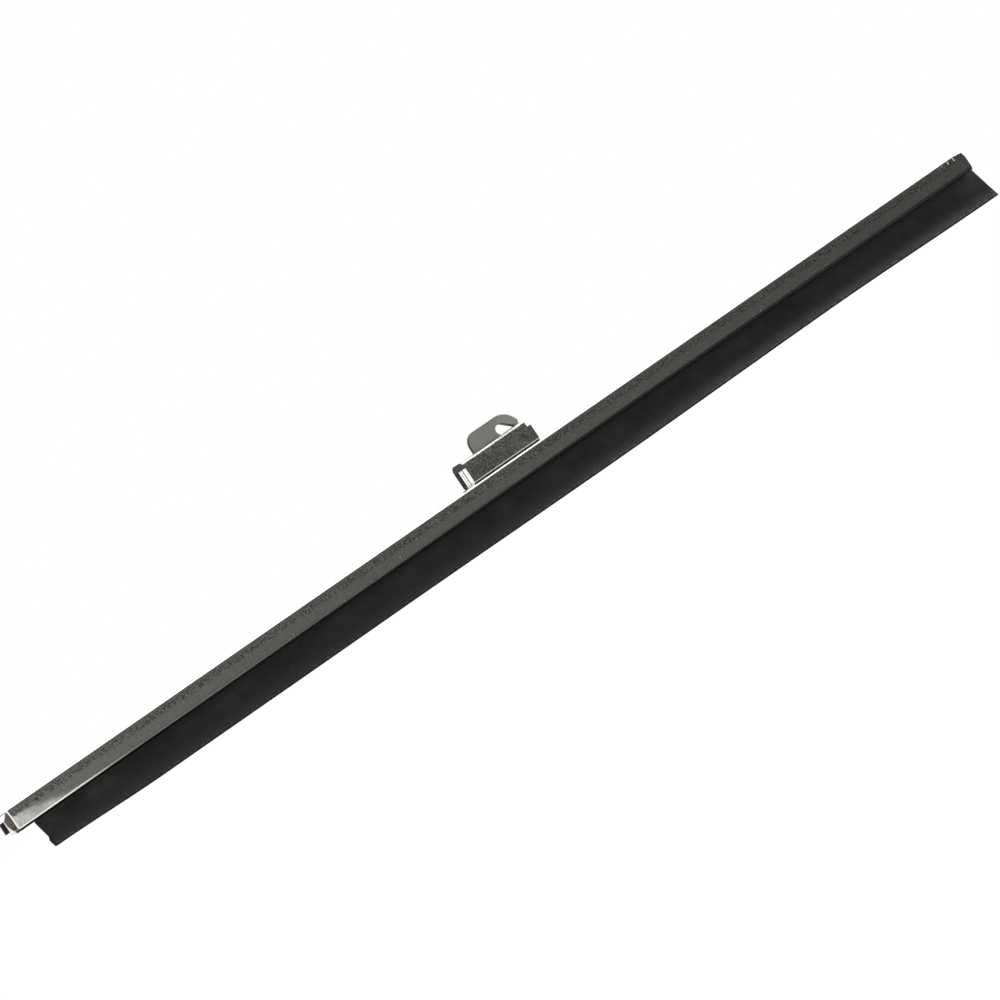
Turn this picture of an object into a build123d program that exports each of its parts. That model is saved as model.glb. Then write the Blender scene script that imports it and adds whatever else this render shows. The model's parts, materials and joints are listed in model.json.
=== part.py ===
"""Rigid wiper blade: a folded channel that holds a rubber strip, with a hooked saddle for the arm's pin.

X runs along the blade, Z points from the glass to the arm, and -Y is the side that the rubber leans to.
The origin is the middle of the arm pin's seat, and the pin lies along Y. Sizes are in millimetres.
"""
from build123d import *
from math import cos, radians, sin, tan
import os

# Arm pin that the hook takes
pin_radius = 1.0
pin_play = 0.05

# Channel, one folded strip
channel_length = 279.4
channel_width = 6.35
channel_height = 5.25
channel_sheet = 0.6
shoulder_drop = 2.05
shoulder_inset = 0.35
shoulder_top_bend = 1.2
shoulder_foot_bend = 2.0
lip_bend = 0.9
slot_width = 2.4

# Crimp that narrows the channel's right-hand end so that the rubber stays in
crimp_length = 2.2
crimp_drop = 0.25
crimp_inset = 0.4

# Rubber, one moulded strip that has slid to the right in the channel and hangs lower at that end
rubber_left_inset = 5.05
rubber_right_proud = 1.6
bead_right_inset = 0.2
bead_width = 3.9
bead_corner = 0.7
bead_clearance = 0.15
bead_headroom = 0.4
neck_thickness = 0.9
flap_thickness = 0.55
flap_left_lean = 24.0
flap_right_lean = 22.2
flap_left_reach = 6.25
flap_right_reach = 7.5
flap_bow = 0.06
edge_bar_thickness = 1.4
edge_bar_height = 1.7

# Saddle, one folded strip
saddle_length = 19.0
saddle_width = 4.8
saddle_height = 5.15
saddle_sheet = 1.4
saddle_bend = 1.25
saddle_foot_chamfer = 0.25
pin_to_saddle_end = 5.8
roof_setback = 1.0
roof_notch_depth = 1.6

# Spot weld between the saddle's front wall and the hook plate, with a shallow round print outside
weld_radius = 0.85
weld_floor_radius = 0.55
weld_print_depth = 0.02
weld_from_end = 2.35
weld_height = 2.35

# Hook plate and backing plate, face to face inside the saddle
plate_thickness = 0.7
plate_clearance = 0.1
slit_clearance = 0.1
hook_height = 3.73
hook_left_reach = 8.25
hook_left_corner = 2.5
hook_crown_reach = 3.37
hook_crown_radius = 4.66
hook_nose_reach = 5.04
hook_nose_height = 0.5
hook_nose_radius = 0.6
hook_wrap = 0.55
seat_run = 0.4
beak_tip_reach = 4.32
beak_dip = 0.2
beak_slope = 37.4

# Levels and places that follow from the sizes above
roof_top = -pin_radius - pin_play
roof_underside = roof_top - saddle_sheet
channel_top = roof_top - saddle_height
plate_top = roof_underside - plate_clearance
mid_plane = plate_thickness / 2
saddle_right = pin_to_saddle_end
saddle_left = saddle_right - saddle_length
roof_right = saddle_right - roof_setback
blade_middle = (saddle_left + saddle_right) / 2
channel_left = blade_middle - channel_length / 2
channel_right = channel_left + channel_length
lip_top = channel_sheet - channel_height
plate_gap = saddle_width / 2 - saddle_sheet - plate_thickness


def section_plane(x):
    """Plane across the blade at x. Its origin is the middle of the channel's top face, with Y right and Z up."""
    return Plane(origin=(x, mid_plane, channel_top), x_dir=(0, 1, 0), z_dir=(1, 0, 0))


def round_row(face, row, radius):
    """Round the corners in one row of a section. Rows are counted from the bottom."""
    return fillet(face.vertices().group_by(Axis.Y)[row], radius)


def channel_section(drop=0.0, inset=shoulder_inset):
    """Section of the folded sheet, with its top lowered by drop and its shoulders sloping in by inset."""
    half = channel_width / 2
    right_side = [(half - inset, -drop), (half, -shoulder_drop), (half, -channel_height)]
    left_side = [(-y, z) for y, z in reversed(right_side)]
    outside = make_face(Polyline(*right_side, *left_side, close=True))
    outside = round_row(outside, -1, shoulder_top_bend)
    outside = round_row(outside, 1, shoulder_foot_bend)
    outside = round_row(outside, 0, lip_bend)
    slot = Pos(0, -channel_height) * Rectangle(slot_width, 2 * channel_sheet)
    return outside - offset(outside, -channel_sheet) - slot


def make_channel():
    """Folded sheet of even thickness, open at both ends and along its slot, with its right-hand end crimped."""
    crimp_start = section_plane(channel_right - crimp_length) * channel_section()
    crimp_end = section_plane(channel_right) * channel_section(crimp_drop, shoulder_inset + crimp_inset)
    straight = extrude(section_plane(channel_left) * channel_section(), channel_length - crimp_length)
    return straight + loft([crimp_start, crimp_end], ruled=True)


def rubber_section(reach, lean):
    """Bead inside the channel, a neck in the slot, and a flap that leans forward to a thicker wiping edge."""
    bead_top = -channel_sheet - bead_headroom
    bead_foot = lip_top + bead_clearance
    bead_middle = (bead_top + bead_foot) / 2
    bead = Pos(0, bead_middle) * RectangleRounded(bead_width, bead_top - bead_foot, bead_corner)
    slot_foot = -channel_height
    neck_height = bead_middle - slot_foot
    neck = Pos(0, bead_middle - neck_height / 2) * Rectangle(neck_thickness, neck_height)

    down = Vector(-sin(radians(lean)), -cos(radians(lean)))
    back = Vector(1 / cos(radians(lean)), 0)
    across = back * flap_thickness
    front_root = Vector(-neck_thickness / 2, slot_foot)
    front_edge = front_root + down * (reach / cos(radians(lean)))
    front_bow = (front_root + front_edge) / 2 + back * flap_bow
    flap = make_face(
        [
            ThreePointArc(front_root, front_bow, front_edge),
            Line(front_edge, front_edge + across),
            ThreePointArc(front_edge + across, front_bow + across, front_root + across),
            Line(front_root + across, front_root),
        ]
    )
    bar_back = front_edge + back * edge_bar_thickness
    bar_top = bar_back - down * edge_bar_height
    bar_slope_top = front_edge + across / 2 - down * (edge_bar_height + edge_bar_thickness - flap_thickness / 2)
    edge_bar = make_face(Polyline(front_edge, bar_back, bar_top, bar_slope_top, close=True))
    return bead + neck + flap + edge_bar


def make_rubber():
    """Strip drawn from its left-hand section to its right-hand one, where only the flap goes past the channel."""
    left = section_plane(channel_left + rubber_left_inset) * rubber_section(flap_left_reach, flap_left_lean)
    right = section_plane(channel_right + rubber_right_proud) * rubber_section(flap_right_reach, flap_right_lean)
    strip = loft([left, right], ruled=True)
    trim_length = rubber_right_proud + bead_right_inset
    trim_middle = (channel_right + rubber_right_proud, mid_plane, channel_top)
    return strip - Pos(trim_middle) * Box(2 * trim_length, channel_width, 2 * channel_height)


def make_saddle():
    """Inverted U on the channel's top, with a slit for the hook, a stepped right-hand end and a spot weld."""
    outside = Pos(0, saddle_height / 2) * Rectangle(saddle_width, saddle_height)
    outside = round_row(outside, -1, saddle_bend)
    outside = chamfer(outside.vertices().group_by(Axis.Y)[0], saddle_foot_chamfer)
    inside = Rectangle(saddle_width - 2 * saddle_sheet, 2 * (saddle_height - saddle_sheet))
    body = extrude(section_plane(saddle_left) * (outside - inside), saddle_length)

    slit_left = -hook_left_reach - slit_clearance
    slit_length = saddle_right - slit_left
    slit_width = plate_thickness + 2 * slit_clearance
    slit_depth = roof_top - plate_top
    slit_middle = (slit_left + slit_length / 2, 0, roof_top)
    body -= Pos(slit_middle) * Box(slit_length, slit_width, 2 * slit_depth)

    notch_middle = (roof_right + roof_setback, mid_plane, roof_top)
    body -= Pos(notch_middle) * Box(2 * roof_setback, 2 * saddle_width, 2 * roof_notch_depth)

    face_y = mid_plane - saddle_width / 2
    weld_x = saddle_right - weld_from_end
    weld_z = channel_top + weld_height
    from_base = (Align.CENTER, Align.CENTER, Align.MIN)
    nugget = Rot(X=-90) * Cone(weld_radius, weld_floor_radius, plate_gap, align=from_base)
    weld_print = Rot(X=-90) * Cone(weld_radius, weld_floor_radius, weld_print_depth, align=from_base)
    body += Pos(weld_x, face_y + saddle_sheet, weld_z) * nugget
    body -= Pos(weld_x, face_y, weld_z) * weld_print
    return body


def plate_tail():
    """Part of a plate that stands on the channel inside the saddle, seen from the front."""
    return Pos((saddle_left + roof_right) / 2, (channel_top + plate_top) / 2) * Rectangle(
        roof_right - saddle_left, plate_top - channel_top
    )


def make_hook_plate():
    """Plate with a tail inside the saddle and a beaked hook that goes over the pin."""
    hook_top = roof_top + hook_height
    beak_tip = roof_top - beak_dip
    corners = [
        (-hook_left_reach, hook_top),
        (hook_crown_reach, hook_top),
        (hook_nose_reach, roof_top + hook_nose_height),
        (beak_tip_reach, beak_tip),
    ]
    hook = make_face(Polyline(*corners, (beak_tip_reach, plate_top), (-hook_left_reach, plate_top), close=True))
    for corner, radius in zip(corners, (hook_left_corner, hook_crown_radius, hook_nose_radius)):
        hook = fillet(hook.vertices().sort_by_distance((*corner, 0))[0], radius)

    touch = Vector(seat_run, 0) + Vector(sin(radians(beak_slope)), cos(radians(beak_slope))) * pin_radius
    throat = Vector(touch.X + (touch.Y - beak_tip) / tan(radians(beak_slope)), beak_tip)
    mouth = [
        (-hook_wrap, 0),
        (-hook_wrap, plate_top),
        (hook_nose_reach, plate_top),
        (hook_nose_reach, beak_tip),
        throat,
        touch,
        (seat_run, 0),
    ]
    seat = Pos(seat_run / 2, 0) * SlotCenterToCenter(seat_run, 2 * pin_radius)
    window = make_face(Polyline(*mouth, close=True)) + seat
    return extrude(Plane.XZ * (plate_tail() + (hook - window)), plate_thickness / 2, both=True)


def make_backing_plate():
    """Plain plate that packs the saddle behind the hook plate's tail."""
    behind = Plane.XZ.offset(-plate_thickness)
    return extrude(behind * plate_tail(), plate_thickness / 2, both=True)


os.makedirs("parts", exist_ok=True)
nodes = {
    "channel": make_channel(),
    "wiper_rubber": make_rubber(),
    "saddle": make_saddle(),
    "hook_plate": make_hook_plate(),
    "backing_plate": make_backing_plate(),
}
for name, solid in nodes.items():
    export_step(solid, f"parts/{name}.step")
    box = solid.bounding_box()
    print(f"{name}: {len(solid.solids())} solid, {solid.volume:.1f} mm3, {box.min} to {box.max}")
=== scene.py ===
# %% [markdown]
# A rigid wiper blade
#
# The real blade is a strip of bright sheet steel, folded into a long channel that grips a black rubber
# strip. A small steel saddle stands on its back, and a hooked plate in the saddle catches the pin of the
# wiper arm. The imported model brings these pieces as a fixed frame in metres: X runs along the blade, -Y is
# the side that the rubber leans to, and Z points from the glass to the arm. The steel shapes are right as
# they come, so this lesson gives them finishes, light and a camera, and remakes only the soft rubber.

# %% Load the blade
import bpy
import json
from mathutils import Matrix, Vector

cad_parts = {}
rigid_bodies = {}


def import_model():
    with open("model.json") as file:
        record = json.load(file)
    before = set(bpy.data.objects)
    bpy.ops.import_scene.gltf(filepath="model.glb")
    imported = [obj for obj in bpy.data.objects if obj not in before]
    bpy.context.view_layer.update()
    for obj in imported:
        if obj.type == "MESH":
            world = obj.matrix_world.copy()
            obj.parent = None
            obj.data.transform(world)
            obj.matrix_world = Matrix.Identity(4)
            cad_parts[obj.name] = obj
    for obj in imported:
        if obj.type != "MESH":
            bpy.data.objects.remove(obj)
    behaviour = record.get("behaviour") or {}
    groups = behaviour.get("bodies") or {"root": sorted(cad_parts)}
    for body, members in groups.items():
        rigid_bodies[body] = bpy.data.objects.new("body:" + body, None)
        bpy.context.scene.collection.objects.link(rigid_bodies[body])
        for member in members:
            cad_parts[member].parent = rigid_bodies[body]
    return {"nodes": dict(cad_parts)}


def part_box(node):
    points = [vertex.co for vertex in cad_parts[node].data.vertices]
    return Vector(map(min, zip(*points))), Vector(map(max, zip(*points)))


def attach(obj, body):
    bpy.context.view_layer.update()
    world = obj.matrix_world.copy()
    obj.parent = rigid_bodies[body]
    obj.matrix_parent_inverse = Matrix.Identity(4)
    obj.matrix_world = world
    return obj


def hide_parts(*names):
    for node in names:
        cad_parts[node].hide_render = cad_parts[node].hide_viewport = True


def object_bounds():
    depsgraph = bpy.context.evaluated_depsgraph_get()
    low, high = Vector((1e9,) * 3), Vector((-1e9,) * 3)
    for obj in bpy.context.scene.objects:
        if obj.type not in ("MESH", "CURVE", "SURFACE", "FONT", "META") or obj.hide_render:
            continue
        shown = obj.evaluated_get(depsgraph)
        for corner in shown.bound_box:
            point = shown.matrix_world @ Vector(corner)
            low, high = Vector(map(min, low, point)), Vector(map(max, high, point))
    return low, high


for leftover in list(bpy.data.objects):
    bpy.data.objects.remove(leftover)
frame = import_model()
cad_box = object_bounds()
scene = bpy.context.scene
MM = 0.001
for name in frame["nodes"]:
    low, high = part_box(name)
    print(name, "is", [round(side / MM, 2) for side in high - low], "mm")

# %% [markdown]
# The camera
#
# The blade is seen a little from its left end, from just above level, through a long lens that keeps it
# nearly flat. A camera could be aimed with a tracking constraint, but the picture is also turned so that
# the blade runs corner to corner, so the three axes of the camera are worked out from its bearing, its
# height and its roll.

# %% Set up the camera
from math import cos, radians, sin, tan
from mathutils import Matrix, Vector

view_bearing = -33.01
view_height = 1.56
view_roll = radians(-33.8)
distance = 1355.4 * MM
looked_at = Vector((-9.2, 0.0, -11.81)) * MM
image_pixels = 1000
focal_pixels = 6708.5
sensor_mm = 36.0


def direction(bearing, height):
    """Unit vector at a bearing from -Y towards +X and a height above level, both in degrees."""
    turned = radians(bearing)
    raised = radians(height)
    return Vector((sin(turned) * cos(raised), -cos(turned) * cos(raised), sin(raised)))


backward = direction(view_bearing, view_height)
level = direction(view_bearing + 90.0, 0.0)
upright = backward.cross(level)
right = level * cos(view_roll) + upright * sin(view_roll)
upward = upright * cos(view_roll) - level * sin(view_roll)

lens = bpy.data.cameras.new("camera")
lens.sensor_width = sensor_mm
lens.lens = sensor_mm * focal_pixels / image_pixels
camera = bpy.data.objects.new("camera", lens)
turn = Matrix((right, upward, backward)).transposed().to_4x4()
camera.matrix_world = Matrix.Translation(looked_at + backward * distance) @ turn
scene.collection.objects.link(camera)
scene.camera = camera
print("lens", round(lens.lens, 1), "mm at", [round(c, 3) for c in camera.location])

# %% [markdown]
# Small tools for node trees
#
# Every finish below is a node tree written in code. Its nodes could be placed and linked one by one, but a
# few helpers keep it readable: one adds a node with its settings and its input values in a single call,
# some put in one step of arithmetic or mixing, and the last ones make an empty shader group with named
# sockets, and an empty material.

# %% Helpers for nodes and colours
def add_node(tree, kind, inputs=None, **settings):
    """Add a node. An input is a plain value, or the socket of another node that is then linked to it."""
    node = tree.nodes.new(kind)
    for setting, value in settings.items():
        setattr(node, setting, value)
    for socket, value in (inputs or {}).items():
        if isinstance(value, bpy.types.NodeSocket):
            tree.links.new(value, node.inputs[socket])
        else:
            node.inputs[socket].default_value = value
    return node


def calculate(tree, operation, first, second=0.0, third=0.0):
    """Put one arithmetic step into a tree and return its result."""
    inputs = {0: first, 1: second, 2: third}
    return add_node(tree, "ShaderNodeMath", inputs, operation=operation).outputs[0]


def blend_colours(tree, factor, first, second):
    """Mix two colours by a factor and return the result."""
    return add_node(tree, "ShaderNodeMix", {0: factor, 6: first, 7: second}, data_type="RGBA").outputs[2]


def grey(level, warmth=0.0, brown=0.15):
    """A neutral colour, or a warm one with less blue. Green loses a share of what blue loses."""
    return (level, level * (1.0 - brown * warmth), level * (1.0 - warmth), 1.0)


# %% Helpers for masks
def between(tree, value, low, high, start=0.0, end=1.0):
    """Go smoothly from start, where the value is low, to end, where it is high."""
    inputs = {"Value": value, "From Min": low, "From Max": high, "To Min": start, "To Max": end}
    return add_node(tree, "ShaderNodeMapRange", inputs, interpolation_type="SMOOTHSTEP").outputs[0]


def all_of(tree, *masks):
    """Multiply masks together."""
    result = masks[0]
    for mask in masks[1:]:
        result = calculate(tree, "MULTIPLY", result, mask)
    return result


def none_of(tree, mask):
    """Turn a mask round."""
    return calculate(tree, "SUBTRACT", 1.0, mask)


def within(tree, value, low, high, soft):
    """Mask where a value lies between two limits, with soft edges."""
    rise = between(tree, value, low - soft, low + soft)
    return all_of(tree, rise, between(tree, value, high + soft, high - soft))


# %% Helpers for places and noise
def combine(tree, operation, first, second=(0.0, 0.0, 0.0)):
    """Put one step of vector arithmetic into a tree and return its vector."""
    return add_node(tree, "ShaderNodeVectorMath", {0: first, 1: second}, operation=operation).outputs[0]


def measure(tree, operation, first, second=(0.0, 0.0, 0.0)):
    """Put in a step of vector arithmetic that gives one number, such as a length."""
    step = add_node(tree, "ShaderNodeVectorMath", {0: first, 1: second}, operation=operation)
    return step.outputs["Value"]


def split(tree, vector):
    """Take a vector apart into its X, Y and Z."""
    return add_node(tree, "ShaderNodeSeparateXYZ", {0: vector}).outputs[:3]


def noise(tree, place, scale, detail, roughness=0.5):
    """Put in a noise texture and return its value."""
    inputs = {"Vector": place, "Scale": scale, "Detail": detail, "Roughness": roughness}
    return add_node(tree, "ShaderNodeTexNoise", inputs).outputs["Fac"]


# %% Helpers for groups and materials
def new_group(name, inputs, outputs):
    """Make an empty shader group. Inputs and outputs map a socket's name to its kind."""
    group = bpy.data.node_groups.new(name, "ShaderNodeTree")
    for socket, kind in inputs.items():
        group.interface.new_socket(socket, in_out="INPUT", socket_type="NodeSocket" + kind)
    for socket, kind in outputs.items():
        group.interface.new_socket(socket, in_out="OUTPUT", socket_type="NodeSocket" + kind)
    entry = group.nodes.new("NodeGroupInput")
    result = group.nodes.new("NodeGroupOutput")
    return group, entry.outputs, result.inputs


def use_group(tree, group, inputs):
    """Place a group in a tree and return its outputs."""
    return add_node(tree, "ShaderNodeGroup", inputs, node_tree=group).outputs


def emptied_tree(owner):
    """Clear the nodes of a material or a world and return its tree."""
    owner.use_nodes = True
    owner.node_tree.nodes.clear()
    return owner.node_tree


def show(tree, shader, output="ShaderNodeOutputMaterial"):
    """Link a shader to a new output of its tree."""
    tree.links.new(shader.outputs[0], tree.nodes.new(output).inputs[0])


def new_finish(name):
    """Make a material and return it with its tree, its shader and the object's own coordinates."""
    material = bpy.data.materials.new(name)
    tree = emptied_tree(material)
    shader = tree.nodes.new("ShaderNodeBsdfPrincipled")
    show(tree, shader)
    place = tree.nodes.new("ShaderNodeTexCoord").outputs["Object"]
    return material, tree, shader, place


def wear(node, material):
    """Give a carried-over solid its finish."""
    frame["nodes"][node].material_slots[0].material = material
    print(node, "wears", material.name, "with", len(material.node_tree.nodes), "nodes")


# %% [markdown]
# The white studio
#
# Bright steel shows its surroundings more than itself. The blade was lit from above in a white studio, so
# its top faces and bends are white, but its sides stand dark against the background: they face a dark card.
# Light could be painted into the steel, but then it would look wrong from every other side. So the world is
# white, the floor is a pale sheet far below, and dark cards that only reflections can see stand where the
# sides look.

# %% World
def only_seen(tree, level_seen, level_lighting):
    """One level for what is seen, straight, mirrored or through glass, and one for what only lights."""
    path = tree.nodes.new("ShaderNodeLightPath").outputs
    seen = calculate(tree, "MAXIMUM", path["Is Camera Ray"], path["Is Glossy Ray"])
    seen = calculate(tree, "MAXIMUM", seen, path["Is Transmission Ray"])
    return calculate(tree, "MULTIPLY_ADD", seen, level_seen - level_lighting, level_lighting)


ambient_level = 0.45
world = bpy.data.worlds.new("white_studio")
scene.world = world
tree = emptied_tree(world)
sky_level = only_seen(tree, 1.0, ambient_level)
sky = add_node(tree, "ShaderNodeBackground", {"Color": grey(1.0), "Strength": sky_level})
show(tree, sky, "ShaderNodeOutputWorld")
print("ambient light", ambient_level)

# %% Floor
floor_drop = 0.2
floor_half = 6.0
floor_lift = 0.62
floor_height = cad_box[0].z - floor_drop


def rows_to_sheet(name, rows, material):
    """Make a stage piece from rows of points."""
    count = len(rows[0])
    corners = [point for row in rows for point in row]
    row_starts = range(0, len(corners) - count, count)
    faces = [(i, i + 1, i + count + 1, i + count)
             for start in row_starts for i in range(start, start + count - 1)]
    mesh = bpy.data.meshes.new(name)
    mesh.from_pydata(corners, [], faces)
    mesh.materials.append(material)
    sheet = bpy.data.objects.new(name, mesh)
    scene.collection.objects.link(sheet)
    return sheet


def level_rows(height, *edges):
    """Rows of a level sheet. Each edge gives its Y place and the X places of its two ends."""
    return [[(start, y, height), (end, y, height)] for y, start, end in edges]


floor_paper = bpy.data.materials.new("floor_paper")
tree = emptied_tree(floor_paper)
paper = add_node(tree, "ShaderNodeBsdfDiffuse", {"Color": grey(0.9)})
lift = only_seen(tree, floor_lift, 0.0)
glow = add_node(tree, "ShaderNodeEmission", {"Color": grey(1.0), "Strength": lift})
show(tree, add_node(tree, "ShaderNodeAddShader", {0: paper.outputs[0], 1: glow.outputs[0]}))
front_edge = (-floor_half, -floor_half, floor_half)
back_edge = (floor_half, -floor_half, floor_half)
rows_to_sheet("floor", level_rows(floor_height, front_edge, back_edge), floor_paper)
print("floor", round(floor_drop / MM), "mm below the rubber")

# %% [markdown]
# Cards for the reflections
#
# A photographer sets dark cards, called flags, beside shiny metal to give it shape. They could be flat
# boards, but a reflection finds a card by its bearing and its height, so the standing cards are patches of
# a large sphere round the blade that are given in just those angles. Three more lie on the floor. Low on
# the left they are graded up to white and leave a patch of floor free, which lights the channel's left-hand
# end and its lower bend. One bright card stands behind the blade. The channel's top is seen almost edge on
# and mirrors what lies beyond it, so without that card it would end in a grey line. The camera, the shadows
# and the soft light pass all the cards by.

# %% Cards that only reflections see
def only_in_reflections(card):
    """Hide a stage piece from everything but glossy rays."""
    card.visible_camera = False
    card.visible_diffuse = False
    card.visible_shadow = False
    card.visible_transmission = False
    card.visible_volume_scatter = False


def even_steps(start, end, count):
    """Evenly spaced values from start to end, with both."""
    return [start + (end - start) * i / count for i in range(count + 1)]


def add_card(name, rows, shades):
    """Make a card that is graded from one grey to another along its rows."""
    material = bpy.data.materials.new(name)
    tree = emptied_tree(material)
    shade = add_node(tree, "ShaderNodeAttribute", attribute_name="shade").outputs["Color"]
    show(tree, add_node(tree, "ShaderNodeEmission", {"Color": shade, "Strength": 1.0}))
    card = rows_to_sheet(name, rows, material)
    painted = card.data.color_attributes.new("shade", "FLOAT_COLOR", "POINT")
    levels = even_steps(*shades, len(rows[0]) - 1)
    for i, point in enumerate(painted.data):
        point.color = grey(levels[i % len(levels)])
    only_in_reflections(card)
    print(name, "graded from", shades[0], "to", shades[1])


# %% Standing cards
flag_distance = 3.0
flag_step = 4.0
low_foot = -6.0
low_top = 8.0


def flag(name, bearings, foot, tops, shades):
    """Stand a card round the blade, between two bearings, from its foot up to a top that may slope."""
    across = max(1, round((bearings[1] - bearings[0]) / flag_step))
    upwards = max(1, round((max(tops) - foot) / flag_step))
    columns = list(zip(even_steps(*bearings, across), even_steps(*tops, across)))
    rows = []
    for share in even_steps(0.0, 1.0, upwards):
        rows.append([direction(bearing, foot + (top - foot) * share) * flag_distance
                     for bearing, top in columns])
    add_card(name, rows, shades)


flag("gap_flag_left", (4.0, 18.0), low_foot, (low_top, low_top), (1.0, 0.9))
flag("gap_flag_right", (18.0, 26.0), low_foot, (low_top, low_top), (0.9, 0.2))
flag("low_flag_left", (26.0, 40.0), low_foot, (low_top, low_top), (0.2, 0.09))
flag("low_flag_right", (40.0, 88.0), low_foot, (low_top, low_top), (0.09, 0.06))
flag("high_flag_left", (24.0, 32.0), low_top, (74.0, 66.0), (0.15, 0.2))
flag("high_flag_middle", (32.0, 40.0), low_top, (66.0, 58.0), (0.2, 0.13))
flag("high_flag_right", (40.0, 54.0), low_top, (60.0, 54.0), (0.13, 0.12))
flag("high_flag_end", (54.0, 74.0), low_top, (47.0, 31.0), (0.12, 0.12))
flag("back_reflector", (125.0, 170.0), -3.0, (30.0, 30.0), (1.5, 1.5))

# %% Floor cards
card_height = floor_height + 10 * MM
far_front = -3.0
near_front = -0.75
front_line = -0.14
far_back = 0.15
far_left = -1.5
far_right = 3.2
gap_start = 0.03
gap_slant = 0.78
gap_end = gap_start + gap_slant * (front_line - near_front)
under_shade = 0.16
front_shade = 0.12
far_shade = 0.16
under_rows = level_rows(card_height, (front_line, far_left, far_right), (far_back, far_left, far_right))
front_rows = level_rows(card_height, (near_front, gap_end, far_right), (front_line, gap_start, far_right))
far_rows = level_rows(card_height, (far_front, far_left, far_right), (near_front, far_left, far_right))
add_card("under_flag", under_rows, (under_shade, under_shade))
add_card("front_floor_flag", front_rows, (front_shade, front_shade))
add_card("far_floor_flag", far_rows, (far_shade, front_shade))

# %% [markdown]
# The soft light
#
# One wide softbox hangs over the blade, as in most product pictures. A sun or a spot would be simpler, but
# it would draw hard shadows and thin highlights. A lamp of this size gives soft shadows and a broad
# highlight on the bends. With the white world, its power makes a white card under it render about white.

# %% Softbox
softbox = bpy.data.lights.new("softbox", "AREA")
softbox.shape = "RECTANGLE"
softbox.size = 2.0
softbox.size_y = 0.8
softbox.energy = 10.0
softbox_object = bpy.data.objects.new("softbox", softbox)
softbox_object.location = (0.35, 0.1, 0.9)
scene.collection.objects.link(softbox_object)
scene.view_settings.view_transform = "Standard"
print("softbox", softbox.energy, "W over", round(softbox.size * softbox.size_y, 2), "square metres")

# %% [markdown]
# Worn sheet
#
# The steel pieces are rolled sheet that has lost its shine in patches: broad clouds of tone, with fine
# specks in them. Each material could hold a noise of its own, but all of them share the effect, and so does
# the rubber, so it is a node group. It gives masks, and each material decides how far they change its
# colour or its roughness.

# %% Group for worn sheet
worn_sheet, taken, given = new_group(
    "worn_sheet", {"Place": "Vector", "Cloud Scale": "Float", "Speck Scale": "Float"},
    {"Clouds": "Float", "Specks": "Float"})
clouds = noise(worn_sheet, taken["Place"], taken["Cloud Scale"], detail=5.0, roughness=0.62)
specks = noise(worn_sheet, taken["Place"], taken["Speck Scale"], detail=2.0)
worn_sheet.links.new(between(worn_sheet, clouds, 0.3, 0.7), given["Clouds"])
worn_sheet.links.new(between(worn_sheet, specks, 0.4, 0.62), given["Specks"])
print("worn sheet group with", len(worn_sheet.nodes), "nodes")

# %% [markdown]
# Sheared ends
#
# Where the sheet was cut off, its end shows a narrow face that was never rolled. Some of these faces are
# bright and some are dark. Picked faces could carry a second material, but the way that they face is
# enough to find them: a group masks every face that looks to the left, where the open ends of the channel
# and the saddle show, and each material colours them.

# %% Group for left-hand ends
nearly_left = -0.9
fully_left = -0.98
left_end, taken, given = new_group("left_end", {}, {"Mask": "Float"})
facing = add_node(left_end, "ShaderNodeNewGeometry").outputs["True Normal"]
facing_x = split(left_end, facing)[0]
left_end.links.new(between(left_end, facing_x, nearly_left, fully_left), given["Mask"])
print("left end group with", len(left_end.nodes), "nodes")

# %% [markdown]
# Channel steel
#
# The channel's walls are smooth and mirror the dark cards. Its shoulders took the marks of the folding
# tool: a fine, dark grain. A picture of such marks could be laid on, but it would repeat along so long a
# strip. The specks of the worn sheet never do, so the same specks are made darker there, and a mask keeps
# them on the shoulders.

# %% Places on the channel
channel_low, channel_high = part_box("channel")
channel_middle = (channel_low + channel_high) / 2
sheet = 0.6 * MM
shoulder_drop = 2.05 * MM
crease = channel_high.z - shoulder_drop
lip_top = channel_low.z + sheet
print("crease at", round(crease / MM, 2), "mm, lips up to", round(lip_top / MM, 2), "mm")

# %% Rolled surface and folding marks
channel_steel, tree, shader, place = new_finish("channel_steel")
x, y, z = split(tree, place)
worn = use_group(tree, worn_sheet, {"Place": place, "Cloud Scale": 500.0, "Speck Scale": 3000.0})
tone = blend_colours(tree, worn["Clouds"], grey(0.46, 0.07), grey(0.66, 0.07))
tone = blend_colours(tree, all_of(tree, worn["Specks"], worn["Clouds"]), tone, grey(0.49, 0.08))
marks_low = crease - 0.2 * MM
marks_high = crease + 1.2 * MM
on_shoulder = within(tree, z, marks_low, marks_high, soft=0.4 * MM)
tone = blend_colours(tree, all_of(tree, on_shoulder, worn["Specks"]), tone, grey(0.18, 0.1))
print("folding marks from", round(marks_low / MM, 2), "to", round(marks_high / MM, 2), "mm")
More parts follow.
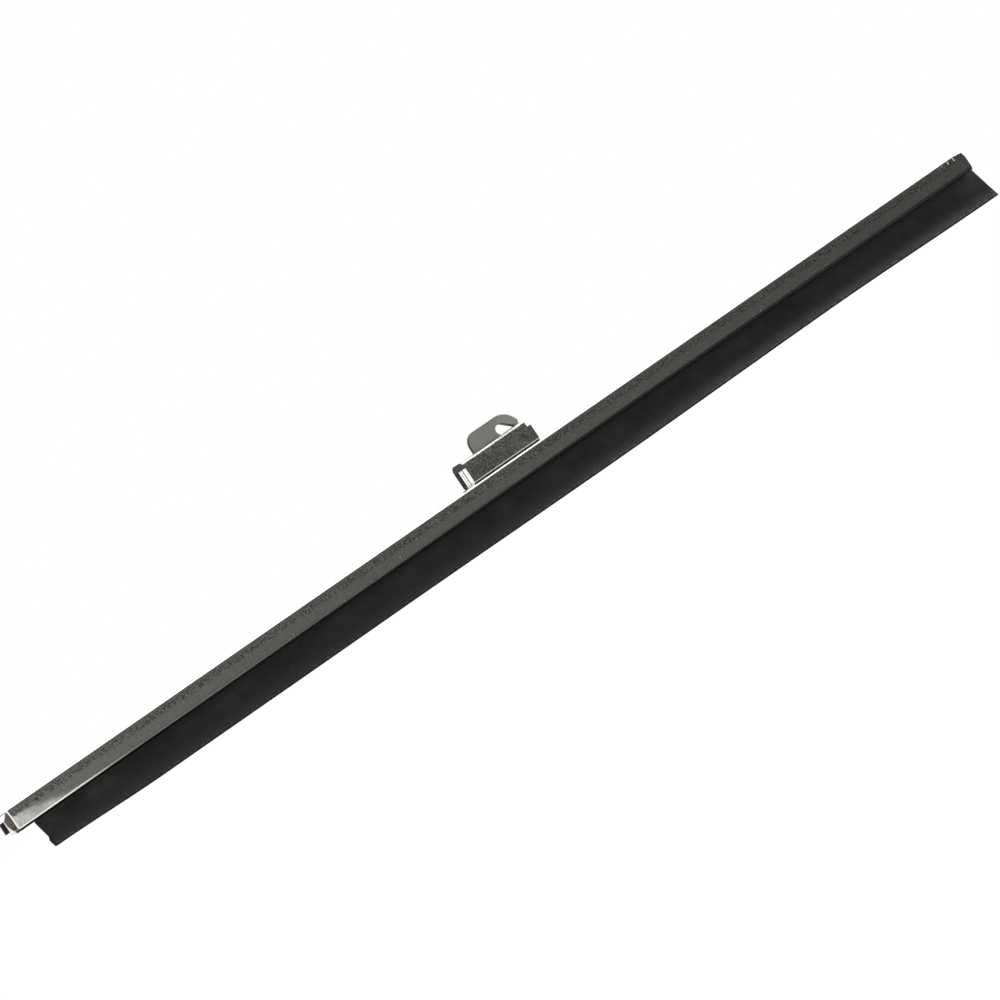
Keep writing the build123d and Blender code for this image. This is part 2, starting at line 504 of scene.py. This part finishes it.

# %% [markdown]
# The lower bend
#
# Below its walls the sheet turns in to the lips. Near the left-hand end this bend is polished and shows as
# a white line, and further right it is darkened with painted shade. Its underside at the left is painted
# nearly black, as painted shade. The bend could be cut off as a surface of its own, but its height and the
# distance from the left-hand end already say where each of these is.

# %% Lower bend
lip_bend = 0.9 * MM
bend_shade_start = 3.4 * MM
bend_shade_full = 35.4 * MM
lighter_start = 143.4 * MM
lighter_full = 273.4 * MM
polish_full = 9.4 * MM
polish_end = 25.4 * MM
lip_shade_full = 28.4 * MM
lip_shade_end = 58.4 * MM
from_left = calculate(tree, "SUBTRACT", x, channel_low.x)
on_bend = between(tree, z, channel_low.z + 1.2 * lip_bend, channel_low.z + 0.8 * lip_bend)
under_lip = between(tree, z, channel_low.z + 0.55 * lip_bend, channel_low.z + 0.4 * lip_bend)
# Painted shade: the lower bend is darkened away from the left-hand end, less so towards the right.
painted_bend_shade = all_of(tree, on_bend, between(tree, from_left, bend_shade_start, bend_shade_full))
lighter = between(tree, from_left, lighter_start, lighter_full)
tone = blend_colours(tree, painted_bend_shade, tone, blend_colours(tree, lighter, grey(0.1), grey(0.19)))
polished_bend = all_of(tree, on_bend, between(tree, from_left, polish_end, polish_full))
tone = blend_colours(tree, polished_bend, tone, grey(0.62))
# Painted shade: the lip's underside is painted nearly black near the left-hand end.
painted_lip_shade = all_of(tree, under_lip, between(tree, from_left, lip_shade_end, lip_shade_full))
tone = blend_colours(tree, painted_lip_shade, tone, grey(0.03))
print("lower bend up to", round((channel_low.z + lip_bend) / MM, 2), "mm")

# %% [markdown]
# The open left-hand end
#
# Here the channel shows its inside, which is brown with dirt but for a rim painted as a highlight and a
# strip of painted dark reflection by the far wall's end, and its cut edges, which are bright but for two
# darker ones. A second material on picked faces could do this. The place of a face and the way it looks are
# enough, though: a face that looks towards the middle of the channel is an inside one.

# %% Inside of the channel
# Bare white steel, which also serves for the painted highlights below.
bare_steel_and_highlight = grey(0.95)
brown_dirt = grey(0.46, warmth=0.25, brown=0.45)
at_left_end = use_group(tree, left_end, {})["Mask"]
facing = add_node(tree, "ShaderNodeNewGeometry").outputs["True Normal"]
outward = measure(tree, "DOT_PRODUCT", combine(tree, "SUBTRACT", place, channel_middle), facing)
inside = all_of(tree, between(tree, outward, 0.0, -0.1 * MM), none_of(tree, at_left_end))
tone = blend_colours(tree, inside, tone, brown_dirt)

rim_least = 1.2 * MM
rim_waist = channel_middle.z - 0.6 * MM
widening_up = 0.9
widening_down = 0.4
over_crease = calculate(tree, "MAXIMUM", calculate(tree, "SUBTRACT", z, crease), 0.0)
under_waist = calculate(tree, "MAXIMUM", calculate(tree, "SUBTRACT", rim_waist, z), 0.0)
rim_width = calculate(tree, "MULTIPLY_ADD", over_crease, widening_up, rim_least)
rim_width = calculate(tree, "MULTIPLY_ADD", under_waist, widening_down, rim_width)
in_rim = between(tree, calculate(tree, "SUBTRACT", rim_width, from_left), 0.0, 0.2 * MM)
far_side = between(tree, y, channel_middle.y, channel_middle.y + 0.2 * MM)
# Painted highlight: a rim of the far inside, near the open end, is painted as white steel.
painted_rim_highlight = all_of(tree, inside, in_rim, far_side)
tone = blend_colours(tree, painted_rim_highlight, tone, bare_steel_and_highlight)
print("rim inside the channel at least", round(rim_least / MM, 2), "mm wide")

# %% Cut edges of the channel
dark_reflection_width = 0.85 * MM
far_half = between(tree, y, channel_middle.y, channel_middle.y + sheet)
near_half = between(tree, y, channel_middle.y, channel_middle.y - sheet)
far_wall = all_of(tree, far_half, within(tree, z, lip_top + 0.2 * MM, crease, soft=0.1 * MM))
near_lip = all_of(tree, near_half, between(tree, z, lip_top + 0.1 * MM, lip_top - 0.1 * MM))
by_edge = between(tree, from_left, dark_reflection_width + 0.1 * MM, dark_reflection_width - 0.1 * MM)
# Painted dark reflection: a strip inside the far wall by its cut end is painted nearly black.
tone = blend_colours(tree, all_of(tree, inside, far_wall, by_edge), tone, grey(0.02))
tone = blend_colours(tree, at_left_end, tone, bare_steel_and_highlight)
# Two of the cut edges, the near lip's and the far wall's, are darker than the rest.
darker_cut_edges = all_of(tree, at_left_end, calculate(tree, "MAXIMUM", near_lip, far_wall))
tone = blend_colours(tree, darker_cut_edges, tone, grey(0.03, 0.2))
print("two dirty edges among the bright ones, and a dark strip of", round(dark_reflection_width / MM, 2), "mm")

# %% [markdown]
# Nicks with painted glints
#
# Near the right-hand end, nicks that a tool left across the shoulder are painted glints: two bright, some
# faint.
# They could be cut into the solid, but they are only scratches. Each is a narrow stretch of X, so a list of
# distances from that end, half widths and strengths holds them. A few pale grains sit on the walls as well.
# Nicks, grains and dirt all take away from the metal's gloss.

# %% Nicks near the right-hand end
# Distances from the end and half widths, both in millimetres, and strengths
nick_places = [(4.8, 0.12, 1.0), (3.0, 0.13, 1.0), (6.6, 0.1, 0.25), (7.7, 0.1, 0.2)]
from_right = calculate(tree, "SUBTRACT", channel_high.x, x)
nicks_and_glints = 0.0
for nick_place, nick_half, strength in nick_places:
    nick_start = (nick_place - nick_half) * MM
    nick_end = (nick_place + nick_half) * MM
    nick_glint = within(tree, from_right, nick_start, nick_end, soft=0.05 * MM)
    nicks_and_glints = calculate(tree, "MULTIPLY_ADD", nick_glint, strength, nicks_and_glints)
nicks_and_glints = all_of(tree, nicks_and_glints, within(tree, z, crease + 0.65 * MM, crease + 1.3 * MM, soft=0.1 * MM))
# Painted glints: the nicks are painted white, and further down they are not metal.
tone = blend_colours(tree, nicks_and_glints, tone, bare_steel_and_highlight)
tree.links.new(tone, shader.inputs["Base Color"])
print(len(nick_places), "nicks_and_glints")

# %% Gloss of the channel
dull_sheet = 0.18
shiny_sheet = 0.12
added_roughness = 0.6
dirt = all_of(tree, inside, between(tree, painted_rim_highlight, 0.0, 1.0, start=0.7, end=0.0))
grains = between(tree, noise(tree, place, scale=1900.0, detail=1.0), 0.77, 0.8, start=0.0, end=0.5)
not_metal = calculate(tree, "MAXIMUM", calculate(tree, "MAXIMUM", nicks_and_glints, grains), dirt)
tree.links.new(none_of(tree, not_metal), shader.inputs["Metallic"])
rough = between(tree, worn["Clouds"], 0.0, 1.0, start=dull_sheet, end=shiny_sheet)
rough = calculate(tree, "MULTIPLY_ADD", not_metal, added_roughness, rough)
tree.links.new(rough, shader.inputs["Roughness"])
print("clean sheet has a roughness of", shiny_sheet, "to", dull_sheet)

# %% [markdown]
# A bulge by the left-hand end
#
# Towards its cut end the wall swells so slightly that the outline doesn't show it, but a mirror does: the
# wall turns to the bright cards there. A height map could give this through a bump node. A tilt of the
# shading normal that fades along the blade gives the same with a plain sum. The rim inside is turned the
# same way.

# %% Bulge at the channel's left-hand end
bulge_length = 21.0 * MM
bulge_tilt = 0.29
bulge_slant = 4.5
rim_tilt = 0.5
raised = calculate(tree, "SUBTRACT", z, channel_low.z)
along = calculate(tree, "MULTIPLY_ADD", raised, bulge_slant, from_left)
fading = between(tree, along, bulge_length, 0.0)
on_wall = between(tree, z, crease + 0.1 * MM, crease - 0.2 * MM)
bulge = all_of(tree, fading, on_wall, none_of(tree, inside))
tilt = calculate(tree, "MULTIPLY", bulge, -bulge_tilt)
tilt = calculate(tree, "MULTIPLY_ADD", painted_rim_highlight, -rim_tilt, tilt)
sideways = add_node(tree, "ShaderNodeCombineXYZ", {"X": tilt}).outputs[0]
smooth_normal = add_node(tree, "ShaderNodeNewGeometry").outputs["Normal"]
tilted = combine(tree, "ADD", smooth_normal, sideways)
tree.links.new(combine(tree, "NORMALIZE", tilted), shader.inputs["Normal"])
wear("channel", channel_steel)

# %% [markdown]
# Saddle steel
#
# The saddle is thicker sheet with a finely spotted surface, and the spots come in patches. Along its foot
# runs a painted highlight with a painted shadow under it, a faint ring on its front marks a spot weld, and
# of the sheared faces at its left-hand end the front one is bright. An image could hold all this, but masks
# from the places of these marks stay sharp at any size.

# %% Saddle surface and weld ring
saddle_low, saddle_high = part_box("saddle")
saddle_middle = (saddle_low + saddle_high) / 2
saddle_steel, tree, shader, place = new_finish("saddle_steel")
y, z = split(tree, place)[1:]
worn = use_group(tree, worn_sheet, {"Place": place, "Cloud Scale": 1600.0, "Speck Scale": 2900.0})
patches = between(tree, noise(tree, place, scale=230.0, detail=1.0), 0.36, 0.6, start=0.35, end=1.0)
tone = blend_colours(tree, worn["Clouds"], grey(0.31, 0.07), grey(0.67, 0.07))
tone = blend_colours(tree, all_of(tree, worn["Specks"], patches), tone, grey(0.2, 0.08))

weld_from_end = 2.35 * MM
weld_height = 2.35 * MM
weld_inner = 0.6 * MM
weld_outer = 0.85 * MM
weld_place = (saddle_high.x - weld_from_end, 0.0, saddle_low.z + weld_height)
from_weld = combine(tree, "MULTIPLY", combine(tree, "SUBTRACT", place, weld_place), (1.0, 0.0, 1.0))
weld_ring = within(tree, measure(tree, "LENGTH", from_weld), weld_inner, weld_outer, soft=0.12 * MM)
on_front = between(tree, y, 0.0, -1.0 * MM, start=0.0, end=0.6)
tone = blend_colours(tree, all_of(tree, weld_ring, on_front), tone, grey(0.16, 0.08))
print("weld ring at", [round(c / MM, 2) for c in weld_place], "mm")

# %% Saddle foot and ends
roof_sheet = 1.4 * MM
roof_underside = saddle_high.z - roof_sheet
from_foot = calculate(tree, "SUBTRACT", z, saddle_low.z)
# Painted highlight along the foot's chamfer, and a painted shadow just under the foot.
painted_foot_highlight = within(tree, from_foot, 0.18 * MM, 0.38 * MM, soft=0.03 * MM)
painted_foot_shadow = within(tree, from_foot, 0.05 * MM, 0.15 * MM, soft=0.02 * MM)
tone = blend_colours(tree, painted_foot_highlight, tone, bare_steel_and_highlight)
tone = blend_colours(tree, painted_foot_shadow, tone, grey(0.01))
at_left_end = use_group(tree, left_end, {})["Mask"]
near_side = between(tree, y, saddle_middle.y, saddle_middle.y - 0.5 * MM)
wall_ends = all_of(tree, at_left_end, between(tree, z, roof_underside, roof_underside - 0.1 * MM))
tone = blend_colours(tree, at_left_end, tone, grey(0.05, 0.25))
tone = blend_colours(tree, wall_ends, tone, grey(0.02))
tone = blend_colours(tree, all_of(tree, wall_ends, near_side), tone, bare_steel_and_highlight)
tree.links.new(tone, shader.inputs["Base Color"])
print("roof of the saddle from", round(roof_underside / MM, 2), "mm up")

# %% Gloss of the saddle
clean_saddle = 0.22
foot_highlight_roughness = 0.6
dots = between(tree, noise(tree, place, scale=2600.0, detail=1.0), 0.68, 0.74, start=0.0, end=0.5)
highlight_share = 0.8
# The painted highlight is mostly not metal, and rougher.
highlight_not_metal = calculate(tree, "MULTIPLY", painted_foot_highlight, highlight_share)
tree.links.new(none_of(tree, calculate(tree, "MAXIMUM", highlight_not_metal, dots)), shader.inputs["Metallic"])
rough = between(tree, painted_foot_highlight, 0.0, 1.0, start=clean_saddle, end=foot_highlight_roughness)
tree.links.new(rough, shader.inputs["Roughness"])
wear("saddle", saddle_steel)

# %% [markdown]
# Plate steel
#
# The hook plate and the plate behind it were blanked from flat stock and left satin. Their faces scatter
# more of the white studio than the folded pieces do, so they look lighter. Their edges above the saddle are
# dark. Blanking rolls the face over along the hook's top and its beak. A bevel could show that, but a rim
# of painted shade is all that is seen of it.

# %% Plate faces and edges
plate_steel, tree, shader, place = new_finish("plate_steel")
x, y, z = split(tree, place)
worn = use_group(tree, worn_sheet, {"Place": place, "Cloud Scale": 400.0})
tone = blend_colours(tree, worn["Clouds"], grey(0.4, 0.06), grey(0.45, 0.06))
hook_start = -2.0 * MM
hook_nose = 5.0 * MM
tone = blend_colours(tree, between(tree, x, hook_start, hook_nose), tone, grey(0.52, 0.06))
hook_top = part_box("hook_plate")[1].z
# Painted shade: a dark rim along the hook's top, where the face rolls over.
painted_top_shade = between(tree, z, hook_top - 0.22 * MM, hook_top - 0.04 * MM)
tone = blend_colours(tree, painted_top_shade, tone, grey(0.22, 0.06))
facing = split(tree, add_node(tree, "ShaderNodeNewGeometry").outputs["True Normal"])
on_edge = between(tree, calculate(tree, "ABSOLUTE", facing[1]), 0.8, 0.5)
above_roof = between(tree, z, saddle_high.z, saddle_high.z + 0.1 * MM)
tone = blend_colours(tree, all_of(tree, on_edge, above_roof), tone, grey(0.04))
print("hook up to", round(hook_top / MM, 2), "mm")

# %% Beak and plate ends
beak_slope = radians(37.4)
pin_radius = 1.0 * MM
seat_run = 0.4 * MM
beak_side = Vector((sin(beak_slope), 0.0, cos(beak_slope)))
beak_start = Vector((seat_run, 0.0, 0.0)) + beak_side * pin_radius
into_beak = measure(tree, "DOT_PRODUCT", combine(tree, "SUBTRACT", place, beak_start), beak_side)
past_start = between(tree, x, beak_start.x - 0.1 * MM, beak_start.x + 0.1 * MM)
# Painted shade: a dark rim along the beak, where the face rolls over.
painted_beak_shade = all_of(tree, between(tree, into_beak, 0.3 * MM, 0.15 * MM), past_start, above_roof)
tone = blend_colours(tree, painted_beak_shade, tone, grey(0.1))
plate_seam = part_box("backing_plate")[0].y
at_seam = within(tree, y, plate_seam - 0.06 * MM, plate_seam + 0.06 * MM, soft=0.03 * MM)
below_roof = between(tree, z, saddle_high.z, saddle_high.z - 0.1 * MM)
tail_ends = all_of(tree, use_group(tree, left_end, {})["Mask"], below_roof)
tone = blend_colours(tree, tail_ends, tone, bare_steel_and_highlight)
tone = blend_colours(tree, all_of(tree, tail_ends, at_seam), tone, grey(0.02))
tree.links.new(tone, shader.inputs["Base Color"])
shader.inputs["Metallic"].default_value = 1.0
shader.inputs["Roughness"].default_value = 0.5
wear("hook_plate", plate_steel)
wear("backing_plate", plate_steel)

# %% [markdown]
# The rubber strip
#
# The strip is moulded in one piece: a bead that runs inside the channel, a neck in its slot, and a thin
# flap with a thicker wiping edge. Years of wiping have bent the flap forward, and its edge runs in a slow
# wave. A subdivided and hand-bent mesh could give that, but one section drawn along the blade, with the
# flap's reach and lean as smooth functions of X, stays exact. Past the channel's right-hand end only the
# flap goes on.

# %% The flap's outline
rubber_low, rubber_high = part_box("wiper_rubber")
neck_thickness = 0.9 * MM
flap_thickness = 0.55 * MM
flap_bow = 0.06 * MM
edge_thickness = 1.4 * MM
edge_height = 1.7 * MM
edge_round = 0.12 * MM
flap_steps = 14


def flap_outline(reach, lean):
    """Points of the flap from its front root, round its wiping edge, to its back root."""
    def front_at(depth):
        share = depth / reach
        return -neck_thickness / 2 - tan(lean) * depth + 4 * flap_bow * share * (1 - share)

    thin = flap_thickness / cos(lean)
    thick = edge_thickness / cos(lean)
    rise = edge_height * cos(lean)
    blend_rise = rise + (edge_thickness - flap_thickness) * cos(lean)
    points = []
    for i in range(flap_steps):
        depth = (reach - edge_round) * i / (flap_steps - 1)
        points.append((front_at(depth), -depth))
    points.append((front_at(reach) + edge_round, -reach))
    points.append((front_at(reach) + thick - edge_round, -reach))
    points.append((front_at(reach - edge_round) + thick, edge_round - reach))
    points.append((front_at(reach - rise) + thick, rise - reach))
    for i in range(flap_steps):
        depth = (reach - blend_rise) * (1 - i / (flap_steps - 1))
        points.append((front_at(depth) + thin, -depth))
    return points


print("flap", round(flap_thickness / MM, 2), "mm thick, its edge", round(edge_thickness / MM, 2), "mm")

# %% The bead's outline
bead_half = rubber_high.y - channel_middle.y
bead_corner = 0.7 * MM
bead_clearance = 0.15 * MM
bead_foot = lip_top + bead_clearance
corner_steps = 4
foot = channel_low.z


def bead_outline():
    """Points from the neck's back, round the bead, to the neck's front."""
    top = rubber_high.z - foot
    bottom = bead_foot - foot
    points = [(neck_thickness / 2, 0.0), (neck_thickness / 2, bottom)]
    corners = ((1, bottom, -90), (1, top, 0), (-1, top, 90), (-1, bottom, 180))
    for side, height, start in corners:
        inward = bead_corner if height == bottom else -bead_corner
        for i in range(corner_steps + 1):
            angle = radians(start + 90 * i / corner_steps)
            points.append((side * (bead_half - bead_corner) + bead_corner * cos(angle),
                           height + inward + bead_corner * sin(angle)))
    points.append((-neck_thickness / 2, bottom))
    return points


print("bead and neck have", len(bead_outline()), "points")

# %% The rubber's run along the blade
# Places along X and reaches below the slot, both in millimetres
edge_wave = [(-138.4, 6.22), (-110.0, 6.77), (-50.0, 6.9), (20.0, 7.2), (85.0, 6.95), (137.6, 7.5)]
left_lean = 24.0
right_lean = 22.2
bead_right_inset = 0.2 * MM
bead_right = channel_high.x - bead_right_inset
station_step = 2.0 * MM


def smooth_through(pairs, x):
    """Read a value at x from pairs of place and value, with a smooth step from each pair to the next."""
    for (x0, v0), (x1, v1) in zip(pairs, pairs[1:]):
        if x <= x1 or x1 == pairs[-1][0]:
            share = min(1.0, max(0.0, (x - x0) / (x1 - x0)))
            return v0 + (v1 - v0) * share * share * (3 - 2 * share)


def stations(start, end):
    """Even places along X, with both ends."""
    return even_steps(start, end, max(1, round((end - start) / station_step)))


print("edge", edge_wave[0][1], "mm below the slot at the left and", edge_wave[-1][1], "mm at the right")

# %% The rubber's mesh
import bmesh

rubber_mesh = bpy.data.meshes.new("rubber_strip")
bm = bmesh.new()
above_edge = bm.verts.layers.float.new("above_edge")


def section_ring(x, with_bead):
    """Add a section of the strip, note each vertex's height above the wiping edge, and return the ring."""
    reach = smooth_through(edge_wave, x / MM) * MM
    share = (x - rubber_low.x) / (rubber_high.x - rubber_low.x)
    outline = flap_outline(reach, radians(left_lean + (right_lean - left_lean) * share))
    if with_bead:
        outline = outline + bead_outline()
    ring = []
    for across, up in outline:
        vertex = bm.verts.new((x, channel_middle.y + across, foot + up))
        vertex[above_edge] = (up + reach) / MM
        ring.append(vertex)
    return ring


def skin(rings):
    """Join each ring to the next."""
    for one, other in zip(rings, rings[1:]):
        count = len(one)
        for i in range(count):
            j = (i + 1) % count
            bm.faces.new((one[i], one[j], other[j], other[i]))


whole_rings = [section_ring(x, True) for x in stations(rubber_low.x, bead_right)]
flap_rings = [section_ring(x, False) for x in stations(bead_right, rubber_high.x)[1:]]
flap_count = len(flap_rings[0])
last_whole = whole_rings[-1]
skin(whole_rings)
skin([last_whole[:flap_count]] + flap_rings)
bm.faces.new(whole_rings[0])
bm.faces.new(last_whole[flap_count - 1:] + last_whole[:1])
bm.faces.new(flap_rings[-1])
bmesh.ops.recalc_face_normals(bm, faces=bm.faces)
print(len(whole_rings), "sections with a bead and", len(flap_rings), "of the flap alone")

# %% The rubber in the solid's place
sharp_angle = radians(35)
for face in bm.faces:
    face.smooth = True
bm.to_mesh(rubber_mesh)
bm.free()
rubber_mesh.set_sharp_from_angle(angle=sharp_angle)
rubber = bpy.data.objects.new("rubber_strip", rubber_mesh)
scene.collection.objects.link(rubber)
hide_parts("wiper_rubber")
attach(rubber, "root")
print("rubber strip with", len(rubber_mesh.polygons), "faces")

# %% [markdown]
# Black rubber
#
# Old rubber isn't even: it is lighter by the left-hand end, a chalky bloom grows towards the wiping edge,
# and light grains sit along that edge. Painted light lifts the strip towards the slot, painted sheen lies
# with the bloom, and the wiping edge's underside is a painted shade. A painted image could show it, but it
# would have to follow the wave of the edge. The mesh carries each point's height above the edge in
# millimetres instead, so every mask can start from there.

# %% Rubber tone
def aged_black(level, warmth=0.22):
    """A black that has turned brown."""
    return grey(level, warmth, brown=0.5)


lighter_left_full = 11.4 * MM
lighter_left_end = 38.4 * MM
black_rubber, tree, shader, place = new_finish("black_rubber")
from_left = calculate(tree, "SUBTRACT", split(tree, place)[0], channel_low.x)
worn = use_group(tree, worn_sheet, {"Place": place, "Cloud Scale": 120.0, "Speck Scale": 3000.0})
height = add_node(tree, "ShaderNodeAttribute", attribute_name="above_edge").outputs["Fac"]
# Painted light: the strip is painted lighter towards the slot.
painted_light_near_slot = between(tree, height, 2.0, 6.0)
tone = blend_colours(tree, painted_light_near_slot, aged_black(0.012), aged_black(0.05))
# The strip is lighter again by the left-hand end.
left_tone = blend_colours(tree, painted_light_near_slot, aged_black(0.019), aged_black(0.088, warmth=0.2))
tone = blend_colours(tree, between(tree, from_left, lighter_left_end, lighter_left_full), tone, left_tone)
dark_clouds = all_of(tree, worn["Clouds"], between(tree, height, 7.0, 5.0))
tone = blend_colours(tree, dark_clouds, tone, aged_black(0.014))
at_left_end = use_group(tree, left_end, {})["Mask"]
tree.links.new(between(tree, at_left_end, 0.0, 1.0, start=0.45, end=0.9), shader.inputs["Roughness"])
shader.inputs["Specular IOR Level"].default_value = 0.3
rubber_mesh.materials.append(black_rubber)
print("rubber wears", black_rubber.name)

# %% Bloom and painted sheen, dust, chalk and painted edge shade
bloom_and_sheen_start = 83.4 * MM
bloom_and_sheen_full = 233.4 * MM
to_right = between(tree, from_left, bloom_and_sheen_start, bloom_and_sheen_full)
cloudy = between(tree, worn["Clouds"], 0.0, 0.8, start=0.55, end=1.0)
# Partly bloom and partly painted sheen: lighter clouds low on the flap towards the right.
bloom_and_sheen = all_of(tree, between(tree, height, 3.2, 0.4), to_right, cloudy)
tone = blend_colours(tree, bloom_and_sheen, tone, grey(0.055, 0.06))
dust = noise(tree, place, scale=1400.0, detail=1.0)
tone = blend_colours(tree, between(tree, dust, 0.74, 0.78), tone, grey(0.05))
speckled = all_of(tree, worn["Specks"], between(tree, height, 2.4, 0.4, start=0.0, end=0.45),
                  between(tree, to_right, 0.0, 1.0, start=0.4, end=1.0))
tone = blend_colours(tree, speckled, tone, grey(0.1, 0.06))
chalk = all_of(tree, between(tree, dust, 0.5, 0.62), within(tree, height, 0.4, 0.62, soft=0.06),
               between(tree, to_right, 0.0, 1.0, start=0.35, end=1.0))
tone = blend_colours(tree, chalk, tone, grey(0.16, 0.03))
# Painted shade along the underside of the wiping edge; the left-hand end face takes the same deeper black.
black_and_edge_shade = grey(0.004)
tone = blend_colours(tree, between(tree, height, 0.38, 0.28), tone, black_and_edge_shade)
tone = blend_colours(tree, at_left_end, tone, black_and_edge_shade)
tree.links.new(tone, shader.inputs["Base Color"])
print("rubber finish with", len(tree.nodes), "nodes")

# %% [markdown]
# The dressed blade must stay inside the box of the solids that it was built around.
#
# The box of the solids that the blade was built around is printed, in metres.

# %% Print the solids' box
import json

print("solids", [tuple(round(c, 4) for c in corner) for corner in cad_box])
